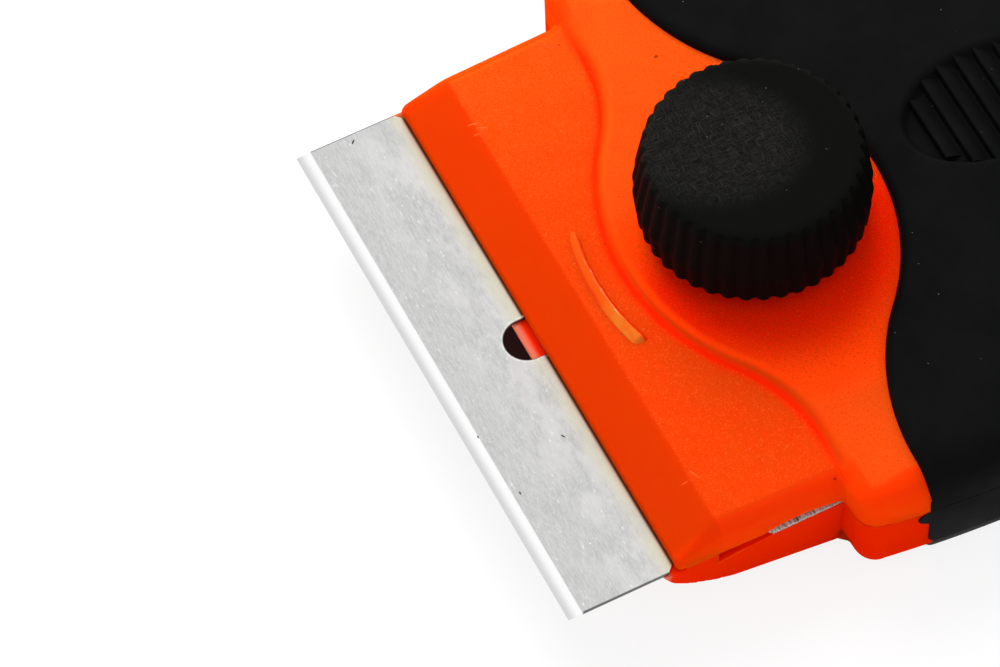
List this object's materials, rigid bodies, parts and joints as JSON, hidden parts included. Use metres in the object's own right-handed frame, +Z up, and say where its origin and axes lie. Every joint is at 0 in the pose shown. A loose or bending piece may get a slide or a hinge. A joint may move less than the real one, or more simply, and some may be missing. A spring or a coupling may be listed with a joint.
{
  "type": "razor blade scraper",
  "caption": "Hand scraper with a wide steel blade clamped between two moulded jaws by a fluted knob, with a broad soft grip and a ribbed thumb pad.",
  "frame": {"origin": "middle of the underside of the tool's box, on the surface that it lies on", "axes": "+X from the cutting edge to the tail, +Z up from the underside to the knob, +Y to the side"},
  "size_m": [0.1, 0.0478, 0.0172],
  "materials": {
    "blade_steel": "satin, ground edge bright",
    "orange_shell": "moulded, fine spark texture on the flats",
    "black_grip": "matt soft grip",
    "black_knob": "scuffed matt",
    "plated_steel": "bright plated"
  },
  "bodies": {
    "base": {"lower_shell": "orange_shell", "lower_grip": "black_grip", "blade": "blade_steel", "clamp_nut": "plated_steel", "pivot_pin": "plated_steel"},
    "cover": {"upper_shell": "orange_shell", "upper_grip": "black_grip", "knob_washer": "plated_steel"},
    "knob": {"knob": "black_knob", "clamp_stud": "plated_steel", "stud_clip": "plated_steel"}
  },
  "joints": [
    {"name": "cover_open", "type": "hinge", "parent": "base", "child": "cover", "pos_m": [0.044, 0, 0.0044], "axis": [0, 1, 0], "range_deg": [0, 2.14]},
    {"name": "knob_turn", "type": "hinge", "parent": "cover", "child": "knob", "pos_m": [-0.02655, 0, 0.01], "axis": [0, 0, 1], "range_deg": [0, 1440]}
  ]
}
